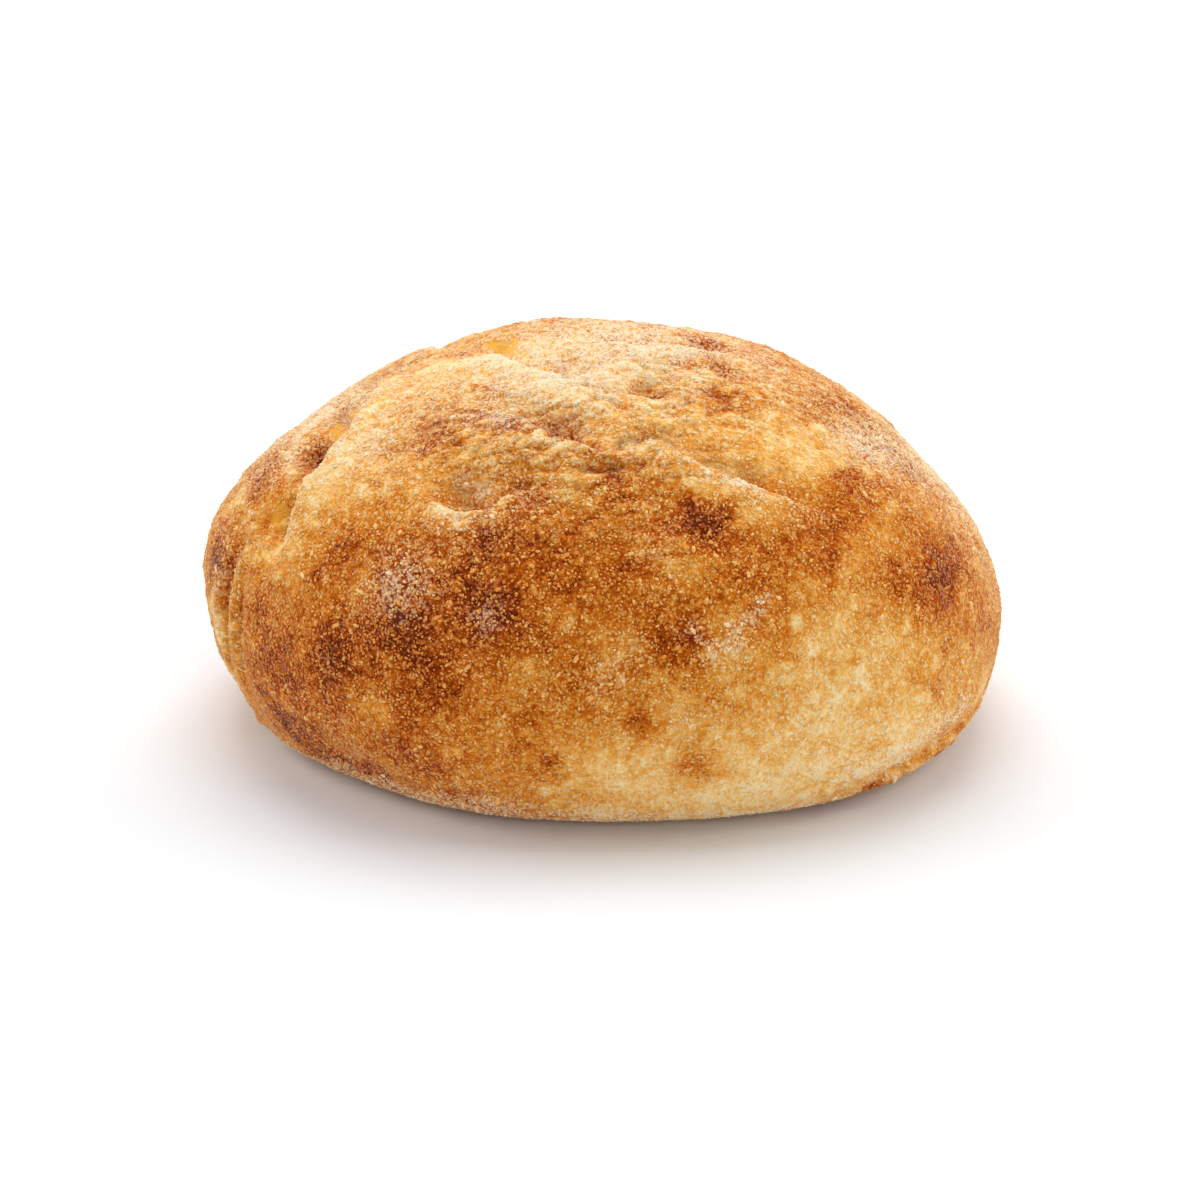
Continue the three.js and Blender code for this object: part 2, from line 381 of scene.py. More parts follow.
# The ripple runs round the foot of the roll: how far up, and how far to either side
RIPPLE_UP, RIPPLE_REACH = 5.0, 1.6

# Waves of the crust, from broad to fine: how wide, how high and the seed of the noise
WAVES = [(8.0, 0.22, 5), (3.2, 0.12, 6), (1.1, 0.09, 9)]

# How much each form of the relief darkens the crust, or pales it if below 0: in valleys and furrows
# the darkening is painted shade, on lips the paling is painted highlight
BROWNING_AND_SHADING_BY_FORM = {"blisters": -0.22, "lips": -0.10, "furrows": 0.16, "valleys": 0.10}
EVEN_BROWNING = 0.385

# The floury band round the foot: how high it reaches, how much more at the front left, how thick
BAND_HEIGHT, BAND_EXTRA, BAND_FLOUR = 4.6, 1.8, 0.42
BAND_MIDDLE, BAND_SPREAD = -28, 48

# What is drawn at random on the back
BACK_SPOTS = 46
BACK_DUSTINGS = 14
SEED = 11


def deselect_all():
    if bpy.context.object and bpy.context.object.mode != "OBJECT":
        bpy.ops.object.mode_set(mode="OBJECT")
    bpy.ops.object.select_all(action="DESELECT")


def pick(piece):
    deselect_all()
    piece.select_set(True)
    bpy.context.view_layer.objects.active = piece


def copy_of_solid():
    """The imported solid's mesh in a piece of its own, merged and rounded over for fine relief."""
    piece = bpy.data.objects.new("roll_crust", SOLID.data.copy())
    bpy.context.scene.collection.objects.link(piece)
    piece.data.materials.clear()
    pick(piece)
    bpy.ops.object.mode_set(mode="EDIT")
    bpy.ops.mesh.select_all(action="SELECT")
    bpy.ops.mesh.remove_doubles(threshold=0.005 * MM)
    bpy.ops.object.mode_set(mode="OBJECT")
    rounding = piece.modifiers.new("fine crust", "SUBSURF")
    rounding.levels = 2
    rounding.render_levels = 2
    bpy.ops.object.modifier_apply(modifier=rounding.name)
    bpy.ops.object.shade_smooth()
    return piece


def places_of(piece):
    found = np.empty(len(piece.data.vertices) * 3)
    piece.data.vertices.foreach_get("co", found)
    return found.reshape(-1, 3) / MM


def normals_of(piece):
    found = np.empty(len(piece.data.vertices) * 3)
    piece.data.vertex_normals.foreach_get("vector", found)
    return found.reshape(-1, 3)


def move_to(piece, places):
    piece.data.vertices.foreach_set("co", (places * MM).ravel())
    piece.data.update()


def surface_finder(piece):
    """A function that gives the point of the crust at a bearing from the heart."""
    tree = BVHTree.FromPolygons(
        [Vector(place) for place in places_of(piece)],
        [tuple(face.vertices) for face in piece.data.polygons],
    )

    def find(bearing):
        azimuth, elevation = (math.radians(angle) for angle in bearing)
        level = math.cos(elevation)
        ray = Vector((math.sin(azimuth) * level, -math.cos(azimuth) * level, math.sin(elevation)))
        return np.array(tree.ray_cast(HEART, ray)[0])

    return find


def eased(value, start, end):
    share = np.clip((value - start) / (end - start), 0, 1)
    return share * share * (3 - 2 * share)


def lumps(places, size, seed):
    """Smooth noise from about -1 to 1, with lumps of the given size."""
    sown = places / size + 17.3 * seed
    return np.array([noise.noise(place) for place in sown.tolist()]) * 1.6


def rough(places, size, seed, octaves):
    """Noise with finer noise on it."""
    sown = places / size + 17.3 * seed
    return np.array([noise.fractal(place, 0.9, 2.0, octaves) for place in sown.tolist()])


def domes(places, size, seed):
    """Round bumps side by side: their height, 0 to 1, and a random share for each bump."""
    sown = places / size + 17.3 * seed
    heights = np.empty(len(places))
    shares = np.empty(len(places))
    for i, place in enumerate(sown.tolist()):
        distances, middles = noise.voronoi(place)
        heights[i] = distances[1] - distances[0]
        shares[i] = noise.cell(middles[0] * 7.0)
    return eased(heights, 0.0, 0.6), 0.5 + 0.5 * shares


def sway(places, reach, size, seed):
    """A smooth push for each place, so that outlines turn ragged."""
    return reach * np.stack([lumps(places, size, seed + i) for i in range(3)], axis=1)


def round_fade(places, middle, radius):
    return np.exp(-np.sum((places - middle) ** 2, axis=1) / radius**2)


def smooth_line(points, steps):
    """A Catmull-Rom curve through the points, cut into straight steps."""
    points = np.array(points)
    padded = np.vstack([2 * points[0] - points[1], points, 2 * points[-1] - points[-2]])
    line = []
    for share in np.linspace(0, len(points) - 1, steps + 1):
        i = min(int(share), len(points) - 2)
        t = share - i
        a, b, c, d = padded[i : i + 4]
        square, cube = 2 * a - 5 * b + 4 * c - d, 3 * b - a - 3 * c + d
        line.append(0.5 * (2 * b + (c - a) * t + square * t**2 + cube * t**3))
    return np.array(line)


def along_line(places, normals, line):
    """How far each place is across a line, how far past its ends, and its share of the way."""
    best = np.full(len(places), np.inf)
    across = np.zeros(len(places))
    share = np.zeros(len(places))
    for i in range(len(line) - 1):
        step = line[i + 1] - line[i]
        reach = np.clip((places - line[i]) @ step / (step @ step), 0, 1)
        offset = places - (line[i] + reach[:, None] * step)
        distance = np.linalg.norm(offset, axis=1)
        nearer = distance < best
        sideways = np.cross(step, normals[nearer])
        sideways /= np.linalg.norm(sideways, axis=1)[:, None] + 1e-9
        across[nearer] = np.sum(sideways * offset[nearer], axis=1)
        share[nearer] = (i + reach[nearer]) / (len(line) - 1)
        best[nearer] = distance[nearer]
    past = np.sqrt(np.maximum(best**2 - across**2, 0))
    return across, past, share


def fold_relief(places, normals, line, width, depth, lip):
    """A valley that rises steeply to a crisp lip, which rolls away gently. Gives both shapes."""
    across, past, share = along_line(places, normals, line)
    rise = eased(across, 0, 0.5 * width)
    valley = np.where(across > 0, 1 - rise, np.exp(-((across / width) ** 2)))
    ridge = rise * np.exp(-np.maximum(across - 0.5 * width, 0) / (1.4 * width))
    taper = (0.25 + 0.75 * np.sin(math.pi * share)) * np.exp(-((past / width) ** 2))
    return taper * depth * valley, taper * lip * ridge


def shape_crust(piece, find):
    """Gives the smooth crust its folds, dimples, wrinkles, blisters and grain."""
    places = places_of(piece)
    normals = normals_of(piece)
    wavy = places + sway(places, 0.6, 5.0, 1)

    relief = SWELL_HEIGHT * rough(places, SWELL_WIDTH, 4, 2)
    for width, rise, seed in WAVES:
        relief += rise * lumps(places, width, seed)
    blisters, size_share = domes(wavy, BLISTER_WIDTH, 7)
    blisters *= eased(size_share, 0.5, 0.9)
    relief += BLISTER_HEIGHT * blisters
    bumps, _ = domes(places, BUMP_WIDTH, 8)
    relief += BUMP_HEIGHT * bumps

    stretched = wavy * np.array([0.30, 1.0, 1.0])
    furrows = 1 - eased(np.abs(lumps(stretched, FURROW_WIDTH, 10)), 0.0, 0.42)
    wrinkled = np.zeros(len(places))
    for bearing, radius, amount in WRINKLES.values():
        wrinkled += amount * round_fade(places, find(bearing), radius)
    wrinkled = np.clip(wrinkled, 0, 1)
    furrows *= wrinkled
    relief -= FURROW_DEPTH * furrows

    for round_, up, radius, height in DIMPLES.values():
        relief += height * round_fade(wavy, find((round_, up)), radius)
    valleys = np.zeros(len(places))
    lips = np.zeros(len(places))
    for path, width, depth, lip in FOLDS.values():
        line = smooth_line([find(bearing) for bearing in path], FOLD_STEPS)
        valley, ridge = fold_relief(wavy, normals, line, width, depth, lip)
        valleys += valley
        lips += ridge
    relief += lips - valleys

    height = places[:, 2]
    relief *= 0.25 + 0.75 * eased(height, 0.5, 6.0)

    near_foot = np.exp(-(((height - RIPPLE_UP) / RIPPLE_REACH) ** 2))
    relief += RIPPLE_HEIGHT * near_foot * lumps(places, RIPPLE_WIDTH, 12)

    sideways = normals * np.array([1, 1, 0])
    push = sideways + (normals - sideways) * eased(height, 0.3, 5.0)[:, None]
    places = places + push * relief[:, None]
    places[:, 2] = np.maximum(places[:, 2], 0)
    move_to(piece, places)
    return {
        "blisters": blisters,
        "furrows": furrows,
        "wrinkled": wrinkled,
        "valleys": valleys,
        "lips": lips,
    }


def keep(piece, name, values):
    """Stores one value for each vertex, for the material to read."""
    attribute = piece.data.attributes.new(name, "FLOAT", "POINT")
    values = np.clip(values, 0, 1).astype(np.float32)
    attribute.data.foreach_set("value", values)
    return values


def mark(places, normals, find, where, reach):
    """How strongly each place lies in a round spot, or in a streak along a path."""
    if isinstance(where, tuple):
        return round_fade(places, find(where), reach)
    line = smooth_line([find(bearing) for bearing in where], FOLD_STEPS)
    across, past, _ = along_line(places, normals, line)
    return np.exp(-((across / reach) ** 2) - (past / reach) ** 2)


def add_marks(values, marks, places, normals, find):
    """Adds the spots and streaks of a table to the values."""
    for where, reach, amount in marks.values():
        values += amount * mark(places, normals, find, where, reach)


def bake_crust(piece, find, forms):
    """Works out where the oven browned the crust, where flour lies and where the skin is torn, with
    painted shade in folds and hollows and painted highlight on lips and edges.
    """
    places = places_of(piece)
    normals = normals_of(piece)
    ragged = places + sway(places, 0.9, 4.0, 21)
    ragged += sway(places, 0.5, 1.5, 24)

    browning_and_shading = np.full(len(places), EVEN_BROWNING)
    add_marks(browning_and_shading, ZONES, ragged, normals, find)
    add_marks(browning_and_shading, STREAKS, ragged, normals, find)
    for spots in SPOTS.values():
        for azimuth, elevation, radius, amount in spots:
            browning_and_shading += amount * round_fade(ragged, find((azimuth, elevation)), radius)

    behind = eased(places[:, 1], 2, 22)
    browning_and_shading += behind * (0.07 + 0.22 * lumps(places, 21.0, 27))
    draw = random.Random(SEED)
    for _ in range(BACK_SPOTS):
        bearing = (draw.uniform(95, 265), draw.uniform(-8, 62))
        radius = draw.uniform(1.8, 5.0)
        amount = draw.uniform(0.14, 0.36) * draw.choice((1, 1, 1, -0.6))
        browning_and_shading += amount * round_fade(ragged, find(bearing), radius)
    browning_and_shading += 0.06 * lumps(places, 6.0, 28) + 0.06 * lumps(places, 2.4, 29)
    # Painted shade in valleys and furrows, painted highlight on lips
    for name, amount in BROWNING_AND_SHADING_BY_FORM.items():
        browning_and_shading += amount * np.clip(forms[name], 0, 1)

    flour_and_highlight = 0.03 + 0.04 * lumps(places, 9.0, 31)
    add_marks(flour_and_highlight, FLOUR_AND_HIGHLIGHT, ragged, normals, find)
    height = places[:, 2]
    azimuth = np.degrees(np.arctan2(places[:, 0], -places[:, 1]))
    near_middle = np.exp(-(((azimuth - BAND_MIDDLE) / BAND_SPREAD) ** 2))
    band_height = BAND_HEIGHT + BAND_EXTRA * near_middle
    band_height += 1.2 * lumps(places, 7.0, 32) + 0.7 * lumps(places, 1.8, 33)
    flour_and_highlight += BAND_FLOUR * eased(band_height - height, 0.2, 1.6)
    for _ in range(BACK_DUSTINGS):
        bearing = (draw.uniform(100, 260), draw.uniform(-5, 60))
        flour_and_highlight += draw.uniform(0.3, 0.6) * round_fade(ragged, find(bearing), draw.uniform(2, 5))
    # Paler veil on the fold lips: painted highlight
    flour_and_highlight += 0.25 * np.clip(forms["lips"], 0, 1)
    flour_and_highlight *= 1 - 0.9 * mark(ragged, normals, find, *RIM)

    torn = np.zeros(len(places))
    add_marks(torn, TORN, ragged, normals, find)
    # Hollows: their own dull olive tone, with painted shade on top
    sheltered_and_shade = np.zeros(len(places))
    add_marks(sheltered_and_shade, SHELTERED_AND_SHADED, ragged, normals, find)

    kept = {
        "browning_and_shading": browning_and_shading,
        "flour_and_highlight": flour_and_highlight,
        "torn": torn,
        "sheltered_and_shade": sheltered_and_shade,
        "wrinkled": forms["wrinkled"],
    }
    return {name: keep(piece, name, values) for name, values in kept.items()}


def linear(red, green, blue):
    """A colour as seen on a screen, 0 to 255, as the shader wants it."""

    def one(value):
        value /= 255
        return value / 12.92 if value <= 0.04045 else ((value + 0.055) / 1.055) ** 2.4

    return (one(red), one(green), one(blue), 1.0)


# The crust from raw-looking dough to scorched, by its share of browning and painted shading
CRUST_COLOURS = [
    (0.00, linear(250, 222, 168)),
    (0.15, linear(246, 199, 122)),
    (0.30, linear(237, 170, 79)),
    (0.45, linear(223, 139, 43)),
    (0.60, linear(203, 108, 25)),
    (0.75, linear(174, 78, 11)),
    (0.90, linear(142, 53, 7)),
    (1.00, linear(104, 37, 7)),
]
FLOUR_AND_HIGHLIGHT_COLOUR = linear(250, 228, 196)
TORN_COLOUR = linear(236, 172, 62)
OLIVE_AND_SHADE_COLOUR = linear(206, 164, 92)

# Grain baked into the skin, from small to large: how wide, how much lighter (pale grain, partly a
# painted glint on its top), and how high
BAKED_GRAIN = [(0.50, 0.48, 0.22), (0.85, 0.40, 0.24), (1.6, 0.16, 0.14)]


class Nodes:
    """Short calls for building a node tree."""

    def __init__(self, tree):
        self.tree = tree

    def add(self, kind, **settings):
        node = self.tree.nodes.new(kind)
        for name, value in settings.items():
            setattr(node, name, value)
        return node

    def link(self, source, target):
        self.tree.links.new(source, target)

    def feed(self, socket, value):
        if isinstance(value, bpy.types.NodeSocket):
            self.link(value, socket)
        else:
            socket.default_value = value

    def math(self, operation, *values):
        node = self.add("ShaderNodeMath", operation=operation)
        for socket, value in zip(node.inputs, values):
            self.feed(socket, value)
        return node.outputs[0]

    def total(self, *values):
        result = values[0]
        for value in values[1:]:
            result = self.math("ADD", result, value)
        return result

    def span(self, value, start, end, low=0.0, high=1.0, smooth=True):
        """Carries a value from one span to another, held at its ends."""
        node = self.add("ShaderNodeMapRange")
        node.interpolation_type = "SMOOTHSTEP" if smooth else "LINEAR"
        for socket, given in zip(node.inputs, (value, start, end, low, high)):
            self.feed(socket, given)
        return node.outputs[0]

    def mix(self, share, first, second):
        node = self.add("ShaderNodeMix", data_type="RGBA")
        self.feed(node.inputs["Factor"], share)
        self.feed(node.inputs[6], first)
        self.feed(node.inputs[7], second)
        return node.outputs[2]

    def noise(self, where, size, detail=2.0, roughness=0.5, output=0):
        node = self.add("ShaderNodeTexNoise")
        self.feed(node.inputs["Vector"], where)
        node.inputs["Scale"].default_value = 1 / (size * MM)
        node.inputs["Detail"].default_value = detail
        node.inputs["Roughness"].default_value = roughness
        return node.outputs[output]

    def ramp(self, value, colours):
        node = self.add("ShaderNodeValToRGB")
        self.link(value, node.inputs[0])
        stops = node.color_ramp.elements
        while len(stops) < len(colours):
            stops.new(0.5)
        for stop, (place, colour) in zip(stops, colours):
            stop.position = place
            stop.color = colour
        return node.outputs[0]


def new_group(name, inputs, outputs):
    group = bpy.data.node_groups.new(name, "ShaderNodeTree")
    for label, kind, value in inputs:
        socket = group.interface.new_socket(name=label, in_out="INPUT", socket_type=kind)
        if value is not None:
            socket.default_value = value
    for label, kind in outputs:
        group.interface.new_socket(name=label, in_out="OUTPUT", socket_type=kind)
    nodes = Nodes(group)
    return group, nodes, nodes.add("NodeGroupInput").outputs, nodes.add("NodeGroupOutput").inputs


def grain_group():
    """Grains baked in side by side: how high they stand, and how much lighter or darker each is,
    lighter at the top of each dome partly as a painted glint.
    """
    group, nodes, given, out = new_group(
        "packed grain",
        [("Vector", "NodeSocketVector", None), ("Size", "NodeSocketFloat", 0.7)],
        [("Height", "NodeSocketFloat"), ("Light", "NodeSocketFloat")],
    )
    cells = nodes.add("ShaderNodeTexVoronoi", feature="F1")
    nodes.link(given["Vector"], cells.inputs["Vector"])
    nodes.link(nodes.math("DIVIDE", 1 / MM, given["Size"]), cells.inputs["Scale"])
    shares = nodes.add("ShaderNodeSeparateColor")
    nodes.link(cells.outputs["Color"], shares.inputs[0])
    dome = nodes.span(cells.outputs["Distance"], 0.70, 0.12)
    stature = nodes.span(shares.outputs[0], 0.0, 1.0, 0.25, 1.0, smooth=False)
    height = nodes.math("MULTIPLY", dome, stature)
    nodes.link(height, out["Height"])
    nodes.link(nodes.math("SUBTRACT", height, 0.24), out["Light"])
    return group


def curled(nodes, where, reach, size):
    """Coordinates pushed about, so that round grains turn ragged."""
    push = nodes.add("ShaderNodeVectorMath", operation="SUBTRACT")
    nodes.link(nodes.noise(where, size, 1.0, output=1), push.inputs[0])
    push.inputs[1].default_value = (0.5, 0.5, 0.5)
    scaled = nodes.add("ShaderNodeVectorMath", operation="SCALE")
    nodes.link(push.outputs[0], scaled.inputs[0])
    scaled.inputs["Scale"].default_value = reach * MM
    moved = nodes.add("ShaderNodeVectorMath", operation="ADD")
    nodes.link(where, moved.inputs[0])
    nodes.link(scaled.outputs[0], moved.inputs[1])
    return moved.outputs[0]


def crust_material():
    material = bpy.data.materials.new("baked crust")
    material.use_nodes = True
    tree = material.node_tree
    tree.nodes.clear()
    nodes = Nodes(tree)
    where = nodes.add("ShaderNodeTexCoord").outputs["Object"]
    stored = {
        name: nodes.add("ShaderNodeAttribute", attribute_name=name).outputs["Fac"]
        for name in ("browning_and_shading", "flour_and_highlight", "torn", "sheltered_and_shade", "wrinkled")
    }
    browning_and_shading, flour_and_highlight, torn, sheltered_and_shade, wrinkled = stored.values()

    mottle = nodes.noise(where, 2.6, 4.0, 0.6)
    grit = nodes.noise(where, 0.8, 3.0, 0.6)
    fine = nodes.noise(where, 0.34, 2.0, 0.6)
    squeeze = nodes.add("ShaderNodeMapping")
    squeeze.inputs["Scale"].default_value = (0.35, 1.0, 1.0)
    nodes.link(where, squeeze.inputs["Vector"])
    fibres = nodes.noise(squeeze.outputs[0], 0.55, 3.0, 0.65)

    packed = grain_group()
    ragged = curled(nodes, where, 0.9, 0.7)

    lights = []
    heights = []
    for size, lightness, rise in BAKED_GRAIN:
        layer = nodes.add("ShaderNodeGroup", node_tree=packed)
        nodes.link(ragged, layer.inputs["Vector"])
        layer.inputs["Size"].default_value = size
        lights.append(nodes.math("MULTIPLY", layer.outputs["Light"], lightness))
        heights.append(nodes.math("MULTIPLY", layer.outputs["Height"], rise))
    # Grain tops lighter: pale grain, partly painted glint
    grain_paleness_and_glint = nodes.total(*lights, nodes.span(fine, 0.25, 0.75, -0.16, 0.16, smooth=False))
    contrast = nodes.span(browning_and_shading, 0.15, 0.65, 0.45, 0.80)

    spread = nodes.total(
        browning_and_shading,
        nodes.span(mottle, 0.25, 0.75, -0.09, 0.09, smooth=False),
        nodes.span(grit, 0.25, 0.75, 0.12, -0.12, smooth=False),
        nodes.math("MULTIPLY", wrinkled, nodes.span(fibres, 0.25, 0.75, 0.20, -0.20, smooth=False)),
    )
    spread = nodes.math("SUBTRACT", spread, nodes.math("MULTIPLY", grain_paleness_and_glint, contrast))
    colour = nodes.ramp(spread, CRUST_COLOURS)

    # Hollows mixed towards dull olive: partly the crust's own tone, partly painted shade
    colour = nodes.mix(nodes.span(sheltered_and_shade, 0.1, 0.9, 0.0, 0.75), colour, OLIVE_AND_SHADE_COLOUR)
    # Flour veil, partly painted highlight where it lies on the crown, the ends and the lips
    held = nodes.total(nodes.math("MULTIPLY", grain_paleness_and_glint, 2.0), nodes.math("MULTIPLY", flour_and_highlight, 0.6))
    caught = nodes.span(held, -0.15, 0.62)
    veil = nodes.math("MULTIPLY", nodes.span(flour_and_highlight, 0.05, 0.8, 0.0, 0.95, smooth=False), caught)
    colour = nodes.mix(veil, colour, FLOUR_AND_HIGHLIGHT_COLOUR)
    colour = nodes.mix(nodes.span(torn, 0.3, 0.7, 0.0, 0.85), colour, TORN_COLOUR)

    height = nodes.total(
        *heights,
        nodes.math("MULTIPLY", grit, 0.26),
        nodes.math("MULTIPLY", fine, 0.14),
        nodes.math("MULTIPLY", wrinkled, nodes.math("MULTIPLY", fibres, 0.45)),
    )
    smooth = nodes.math(
        "MULTIPLY", nodes.span(torn, 0.3, 0.7, 1.0, 0.4), nodes.span(browning_and_shading, 0.1, 0.5, 0.5, 1.0)
    )
    height = nodes.math("MULTIPLY", height, smooth)
    bump = nodes.add("ShaderNodeBump")
    bump.inputs["Distance"].default_value = MM
    bump.inputs["Strength"].default_value = 1.0
    nodes.link(height, bump.inputs["Height"])

    shader = nodes.add("ShaderNodeBsdfPrincipled")
    nodes.link(colour, shader.inputs["Base Color"])
    nodes.link(nodes.span(browning_and_shading, 0.2, 0.9, 0.78, 0.58), shader.inputs["Roughness"])
    shader.inputs["Specular IOR Level"].default_value = 0.02
    shader.inputs["Sheen Weight"].default_value = 0.35
    shader.inputs["Sheen Roughness"].default_value = 0.25
    nodes.link(bump.outputs[0], shader.inputs["Normal"])
    output = nodes.add("ShaderNodeOutputMaterial")
    nodes.link(shader.outputs[0], output.inputs["Surface"])
    return material


# Loose semolina on the crust: how many grains, how wide from the middle, how thick and how deep
SEMOLINA = {
    "fine": {"count": 24500, "reach": 0.15, "thickness": 0.15, "sunk": 0.03},
    "medium": {"count": 24500, "reach": 0.21, "thickness": 0.19, "sunk": 0.03},
    "coarse": {"count": 2600, "reach": 0.34, "thickness": 0.24, "sunk": 0.09},
}
GRAIN_COLOURS = [
    (0.0, linear(250, 230, 196)),
    (0.3, linear(246, 198, 122)),
    (0.7, linear(228, 145, 58)),
    (1.0, linear(188, 96, 30)),
]


def fine_grain():
    """A five-sided chip, its flat side down, one unit wide and high."""
    bpy.ops.mesh.primitive_cone_add(vertices=5, radius1=1, radius2=0, depth=1, location=(0, 0, 0.5))
    bpy.ops.object.transform_apply(location=True)


def coarse_grain():
    """A rounded chip, flattened below."""
    bpy.ops.mesh.primitive_ico_sphere_add(subdivisions=1, radius=1)
    bpy.ops.object.mode_set(mode="EDIT")
    bpy.ops.mesh.select_all(action="SELECT")
    bpy.ops.transform.resize(value=(1.0, 0.8, 1.0))
    bpy.ops.object.mode_set(mode="OBJECT")


def one_grain(make):
    """The vertices and faces of one grain."""
    deselect_all()
    make()
    grain = bpy.context.object
    points = np.array([vertex.co for vertex in grain.data.vertices])
    faces = [tuple(face.vertices) for face in grain.data.polygons]
    bpy.data.objects.remove(grain, do_unlink=True)
    return points, faces


def strew(name, make, crust, kept, material, seed):
    """Scatters copies of one grain over the crust as one mesh."""
    facts = SEMOLINA[name]
    points, faces = one_grain(make)
    mesh = crust.data
    count = len(mesh.polygons)
    middles, ways, areas = np.empty(count * 3), np.empty(count * 3), np.empty(count)
    mesh.polygons.foreach_get("center", middles)
    mesh.polygons.foreach_get("normal", ways)
    mesh.polygons.foreach_get("area", areas)
    middles = middles.reshape(-1, 3) / MM
    ways = ways.reshape(-1, 3)
    corners = np.empty(count * 4, dtype=np.int32)
    mesh.polygons.foreach_get("vertices", corners)
    corners = corners.reshape(-1, 4)[:, 0]
    browning_and_shading, flour_and_highlight, torn = (kept[value][corners] for value in ("browning_and_shading", "flour_and_highlight", "torn"))

    draw = np.random.default_rng(SEED + seed)
    patchy = 0.65 + 0.5 * lumps(middles, 7.0, 40 + seed)
    chance = areas * np.clip(patchy, 0.1, 1.2) * (0.35 + 0.9 * browning_and_shading + 1.0 * flour_and_highlight) * (1 - torn)
    chance *= eased(middles[:, 2], 0.3, 2.0) * (1 - 0.7 * eased(middles[:, 2], 42, 56))
    chosen = draw.choice(count, facts["count"], replace=False, p=chance / chance.sum())

    up = ways[chosen]
    spin = draw.normal(size=up.shape)
    along = np.cross(up, spin)
    along /= np.linalg.norm(along, axis=1)[:, None]
    side = np.cross(up, along)
    size = facts["reach"] * draw.uniform(0.6, 1.45, len(chosen))
    length = size * draw.uniform(1.0, 1.7, len(chosen))
    thick = facts["thickness"] * draw.uniform(0.6, 1.4, len(chosen))
    root = middles[chosen] - up * facts["sunk"]
    root += along * draw.uniform(-0.25, 0.25, (len(chosen), 1))
    placed = root[:, None] + (
        along[:, None] * (length[:, None] * points[None, :, 0])[..., None]
        + side[:, None] * (size[:, None] * points[None, :, 1])[..., None]
        + up[:, None] * (thick[:, None] * points[None, :, 2])[..., None]
    )
    each = len(points)
    all_faces = [
        tuple(i * each + corner for corner in face) for i in range(len(chosen)) for face in faces
    ]
    grains = bpy.data.meshes.new(name + "_semolina")
    grains.from_pydata((placed.reshape(-1, 3) * MM).tolist(), [], all_faces)
    piece = bpy.data.objects.new(name + "_semolina", grains)
    bpy.context.scene.collection.objects.link(piece)
    uneven = draw.uniform(-0.25, 0.25, len(chosen))
    toast = 0.15 + 0.8 * browning_and_shading[chosen] - 0.7 * flour_and_highlight[chosen] + uneven
    keep(piece, "toast", np.repeat(toast, each))
    pick(piece)
    bpy.ops.object.shade_smooth()
    piece.data.materials.append(material)
    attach(piece, "root")


def semolina_material():
    material = bpy.data.materials.new("toasted semolina")
    material.use_nodes = True
    nodes = Nodes(material.node_tree)
    where = nodes.add("ShaderNodeTexCoord").outputs["Object"]
    toast = nodes.add("ShaderNodeAttribute", attribute_name="toast").outputs["Fac"]
    uneven = nodes.span(nodes.noise(where, 0.3), 0.3, 0.7, -0.12, 0.12, smooth=False)
    shader = material.node_tree.nodes["Principled BSDF"]
    nodes.link(nodes.ramp(nodes.total(toast, uneven), GRAIN_COLOURS), shader.inputs["Base Color"])
    shader.inputs["Roughness"].default_value = 0.6
    shader.inputs["Specular IOR Level"].default_value = 0.04
    return material


def make_roll():
    crust = copy_of_solid()
    find = surface_finder(crust)
    forms = shape_crust(crust, find)
    kept = bake_crust(crust, find, forms)
    crust.data.materials.append(crust_material())
    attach(crust, "root")
    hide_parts("bread_roll")

    grain_finish = semolina_material()
    strew("fine", fine_grain, crust, kept, grain_finish, 1)
    strew("medium", fine_grain, crust, kept, grain_finish, 2)
    strew("coarse", coarse_grain, crust, kept, grain_finish, 3)


# The studio, sized from the roll
FLOOR_SIZE = 40 * LENGTH * MM
FLOOR_COLOUR = (0.84, 0.86, 0.88, 1)
FLOOR_ROUGHNESS = 0.9
FLOOR_GLOSS = 0.2
ROOM_COLOUR = (1, 1, 1, 1)
ROOM_LIGHT = 0.28
CAMERA_SENSOR = 36
CAMERA_LENS = 129.3
CAMERA_DISTANCE = 650 * MM
CAMERA_UP = math.radians(22)
LOOKED_AT = Vector((0, 0, 27 * MM))
AIM = Vector((-0.3 * MM, 0, 0))
AIM_BELOW = 8.3 * MM

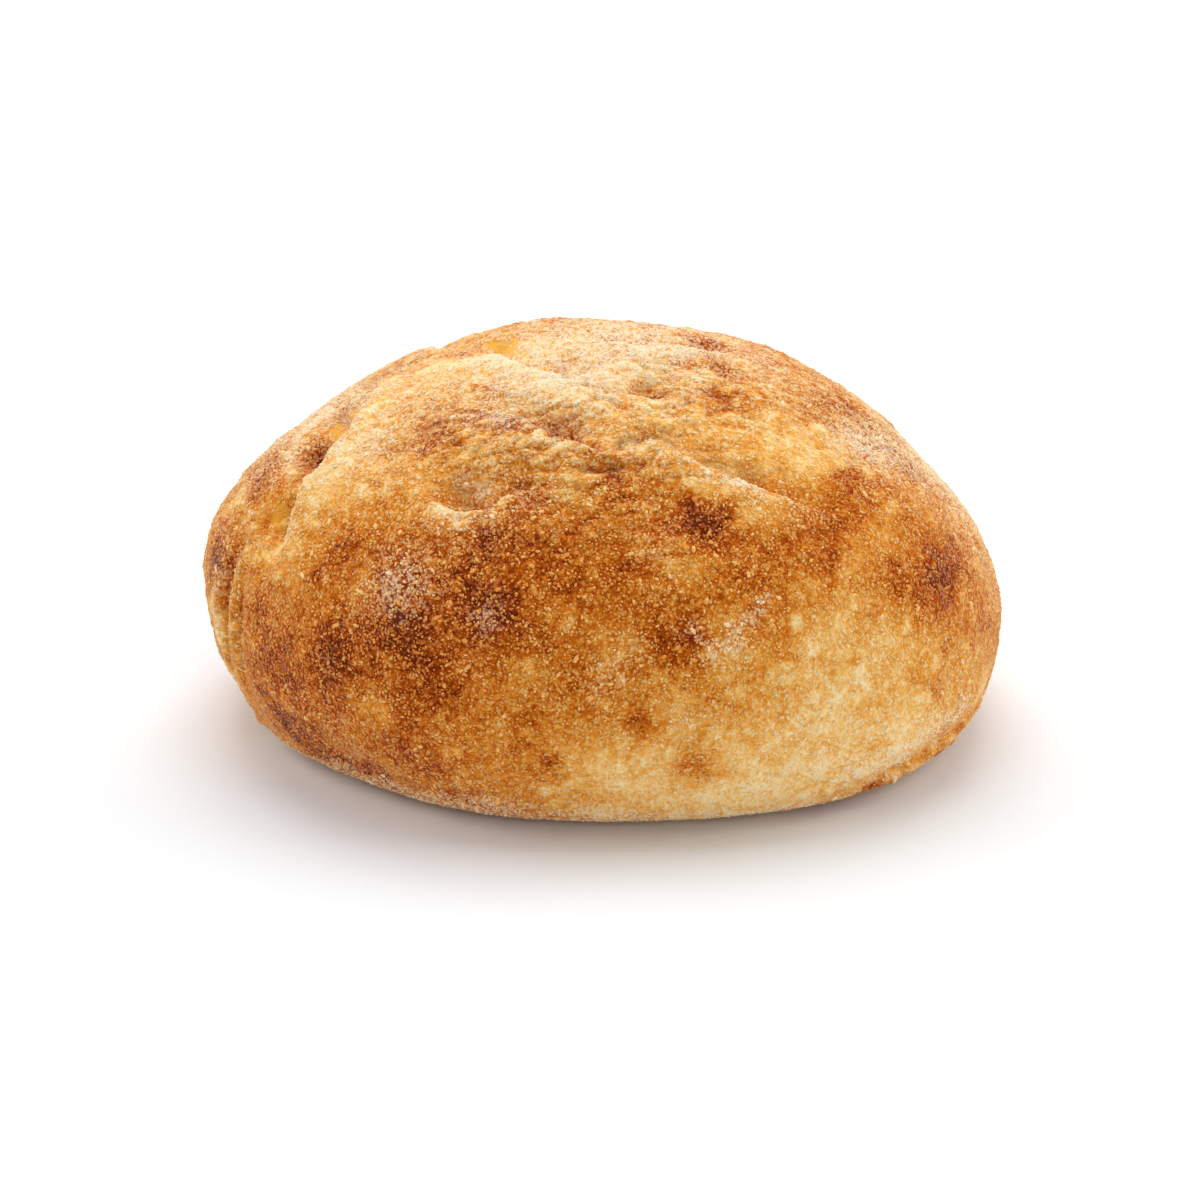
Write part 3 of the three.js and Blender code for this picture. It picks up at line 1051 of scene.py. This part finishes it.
# Softboxes, all turned to the roll: place, size and power
SOFTBOXES = {
    "top softbox": ((0, 0.3, 1.1), 0.8, 5.9),
    "back softbox": ((0, 1.0, 0.9), 1.6, 10.0),
    "left softbox": ((-1.0, 0.2, 0.6), 0.8, 5.6),
    "right softbox": ((1.0, 0.2, 0.6), 0.8, 5.6),
    "front fill": ((0.2, -1.4, 0.6), 1.0, 6.0),
}


def floor_material():
    material = bpy.data.materials.new("white sweep")
    material.use_nodes = True
    shader = material.node_tree.nodes["Principled BSDF"]
    shader.inputs["Base Color"].default_value = FLOOR_COLOUR
    shader.inputs["Roughness"].default_value = FLOOR_ROUGHNESS
    shader.inputs["Specular IOR Level"].default_value = FLOOR_GLOSS
    return material


def make_floor():
    deselect_all()
    bpy.ops.mesh.primitive_plane_add(size=FLOOR_SIZE, location=(0, 0, 0))
    floor = bpy.context.object
    floor.name = "floor"
    floor.data.materials.append(floor_material())


def softbox(name, place, size, power):
    light = bpy.data.lights.new(name, "AREA")
    light.shape = "SQUARE"
    light.size = size
    light.energy = power
    lamp = bpy.data.objects.new(name, light)
    bpy.context.scene.collection.objects.link(lamp)
    lamp.location = place
    lamp.rotation_euler = (LOOKED_AT - Vector(place)).to_track_quat("-Z", "Y").to_euler()


def make_light():
    world = bpy.data.worlds.new("white room")
    bpy.context.scene.world = world
    world.use_nodes = True
    world.node_tree.nodes["Background"].inputs["Color"].default_value = ROOM_COLOUR
    world.node_tree.nodes["Background"].inputs["Strength"].default_value = ROOM_LIGHT
    for name, (place, size, power) in SOFTBOXES.items():
        softbox(name, place, size, power)


def make_camera():
    back = Vector((0, -math.cos(CAMERA_UP), math.sin(CAMERA_UP)))
    rise = Vector((0, math.sin(CAMERA_UP), math.cos(CAMERA_UP)))
    camera = bpy.data.objects.new("camera", bpy.data.cameras.new("camera"))
    bpy.context.scene.collection.objects.link(camera)
    camera.location = LOOKED_AT + back * CAMERA_DISTANCE
    aim = LOOKED_AT + AIM - rise * AIM_BELOW
    camera.rotation_euler = (aim - camera.location).to_track_quat("-Z", "Y").to_euler()
    camera.data.sensor_width = CAMERA_SENSOR
    camera.data.lens = CAMERA_LENS
    bpy.context.scene.camera = camera


make_roll()
make_floor()
make_light()
make_camera()
bpy.context.scene.view_settings.view_transform = "Standard"
